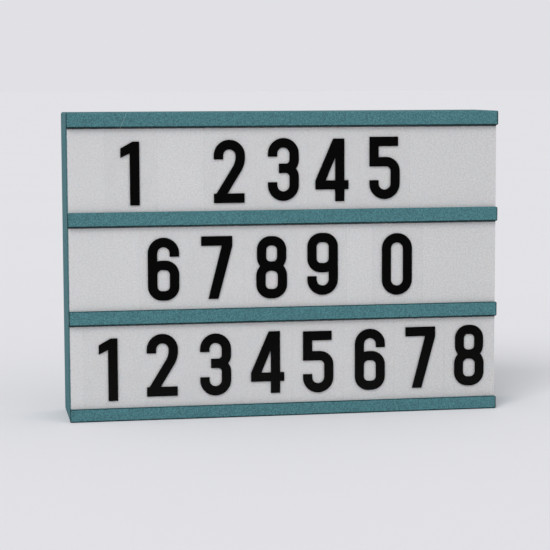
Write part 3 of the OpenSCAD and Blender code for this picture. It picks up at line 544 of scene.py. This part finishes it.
def print_tile(tile, figure, shift, lift, material):
    """A figure as a thin layer of ink on a tile's front."""
    low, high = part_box(tile)
    middle_x = (low.x + high.x) / 2 + shift * MM
    middle_z = low.z + (lift + TOP) * MM

    def on_plane(y):
        def place(p):
            return (middle_x + p[0] * MM, y, middle_z + p[1] * MM)
        return place

    verts, faces = [], []
    for k, shape in enumerate(FIGURES[figure]):
        proud = (INK_T + INK_STEP * k) * MM
        add_solid(shape, on_plane(low.y - proud), on_plane(low.y), verts, faces)
    link_piece("print_" + tile, verts, faces, material, tile)


printed = ink("tile_ink", BLACK_INK)
for row, prints in PRINTS.items():
    for number, (figure, shift, lift) in enumerate(prints, start=1):
        print_tile(f"tile_{row}_{number}", figure, shift, lift, printed)

# ------------------------------------------------------------------ switch marks

# Sizes in mm
ROCKER_MIDDLE = 3.5   # from the pivot back to the dip of the rocker's face
ROCKER_RISE = 0.9     # of the face, from the dip to the rocker's end
ROCKER_HALF = 5.4     # from the dip to the rocker's end
MARK_PROUD = 0.05
MARK_SUNK = 0.02      # the mark's back lies this far inside the rocker


def mark_switch(name, shapes, side, material):
    """A mark on the upper (side 1) or lower (side -1) half of the rocker's face, as it lies at rest.
    Points of the shapes are across the face and from its dip towards the rocker's end."""
    pivot = next(j for j in frame["joints"] if j["name"] == "switch_rocker_pivot")
    rest_tilt = Matrix.Rotation(math.radians(-pivot["range_deg"][1] / 2), 3, "X")
    up_face = Vector((0, ROCKER_RISE, ROCKER_HALF * side)).normalized()
    out = Vector((0, ROCKER_HALF, -ROCKER_RISE * side)).normalized()

    def at_height(h):
        def place(p):
            from_pivot = Vector((p[0], ROCKER_MIDDLE, 0)) + up_face * p[1] + out * h
            return rest_tilt @ from_pivot * MM + Vector(pivot["pos_m"])
        return place

    verts, faces = [], []
    for shape in shapes:
        add_solid(shape, at_height(MARK_PROUD), at_height(-MARK_SUNK), verts, faces)
    link_piece(name, verts, faces, material, pivot["child"])


white_mark = moulded("white_mark", WHITE_INK, rough=0.5, contrast=0.04, grain_bump=0.1)
on_bar = stroke([(0, 1.9), (0, 4.3)], width=0.5)
off_ring = stroke(arc(0, 3.1, 1.0, 0, 360, steps=24), width=0.4, closed=True)
mark_switch("switch_mark_on", on_bar, 1, white_mark)
mark_switch("switch_mark_off", off_ring, -1, white_mark)

# ------------------------------------------------------------------ floor and light

FLOOR_HALF = 60.0   # wide enough to reach the far edge of every view, in metres
WORLD_LIGHT = 0.65
KEY_LIGHT = 0.42
FILL_LIGHT = 0.1


def lay_floor():
    """A pale paper floor."""
    material, tree, shader, coords = new_material("paper")
    tint = noise(tree, coords, size=0.3, detail=2.0, rough=0.5)
    tree.links.new(mix(tree, spread(tree, tint, 0.0, 1.0), shade(PAPER, 0.995), shade(PAPER, 1.005)),
                   shader.inputs["Base Color"])
    shader.inputs["Roughness"].default_value = 0.95
    shader.inputs["Specular IOR Level"].default_value = 0.0
    corners = [(x * FLOOR_HALF, y * FLOOR_HALF, 0) for x, y in ((-1, -1), (1, -1), (1, 1), (-1, 1))]
    mesh = bpy.data.meshes.new("floor")
    mesh.from_pydata(corners, [], [(0, 1, 2, 3)])
    mesh.materials.append(material)
    obj = bpy.data.objects.new("floor", mesh)
    bpy.context.scene.collection.objects.link(obj)


def add_sun(name, toward, light, angle):
    """A soft distant light. toward points from the box to it, and angle is its size in degrees.
    A white face square to it gets the given share of full brightness."""
    data = bpy.data.lights.new(name, "SUN")
    data.energy = light * math.pi
    data.angle = math.radians(angle)
    obj = bpy.data.objects.new(name, data)
    obj.rotation_euler = (-Vector(toward)).to_track_quat("-Z", "Y").to_euler()
    bpy.context.scene.collection.objects.link(obj)


def light_world():
    """Even white light all round. The camera, gloss and clear pieces see the pale backdrop instead."""
    world = bpy.data.worlds.new("studio")
    world.use_nodes = True
    tree = world.node_tree
    lit = tree.nodes["Background"]
    lit.inputs["Color"].default_value = (1.0, 1.0, 1.0, 1.0)
    lit.inputs["Strength"].default_value = WORLD_LIGHT
    backdrop = tree.nodes.new("ShaderNodeBackground")
    backdrop.inputs["Color"].default_value = (*BACKDROP, 1.0)
    rays = tree.nodes.new("ShaderNodeLightPath").outputs
    seen = calc(tree, "MAXIMUM", rays["Is Camera Ray"], rays["Is Glossy Ray"])
    seen = calc(tree, "MAXIMUM", seen, rays["Is Transmission Ray"])
    both = tree.nodes.new("ShaderNodeMixShader")
    tree.links.new(seen, both.inputs["Fac"])
    tree.links.new(lit.outputs["Background"], both.inputs[1])
    tree.links.new(backdrop.outputs["Background"], both.inputs[2])
    tree.links.new(both.outputs["Shader"], tree.nodes["World Output"].inputs["Surface"])
    bpy.context.scene.world = world


lay_floor()
add_sun("key", (-0.5, -0.7, 0.75), KEY_LIGHT, 30)
add_sun("fill", (0.7, -0.8, 0.45), FILL_LIGHT, 60)
light_world()

# ------------------------------------------------------------------ camera

CAMERA_PLACE = (-0.2252, -1.2649, 0.2287)
CAMERA_TURN = 9.942    # to the right of +Y, in degrees
CAMERA_TILT = 5.928    # down from level
CAMERA_ROLL = -0.199
PICTURE_W = 550.0      # in pixels
FOCAL_LENGTH = 1836.2  # in pixels
SENSOR_W = 36.0        # in mm


def place_camera():
    """The camera at the photograph's viewing angle."""
    data = bpy.data.cameras.new("camera")
    data.sensor_width = SENSOR_W
    data.sensor_fit = "HORIZONTAL"
    data.lens = FOCAL_LENGTH * SENSOR_W / PICTURE_W
    data.clip_start = 0.01
    camera = bpy.data.objects.new("camera", data)
    camera.matrix_world = (Matrix.Translation(CAMERA_PLACE)
                           @ Matrix.Rotation(math.radians(-CAMERA_TURN), 4, "Z")
                           @ Matrix.Rotation(math.radians(90 - CAMERA_TILT), 4, "X")
                           @ Matrix.Rotation(math.radians(CAMERA_ROLL), 4, "Z"))
    bpy.context.scene.collection.objects.link(camera)
    bpy.context.scene.camera = camera


place_camera()
bpy.context.scene.view_settings.view_transform = "Standard"
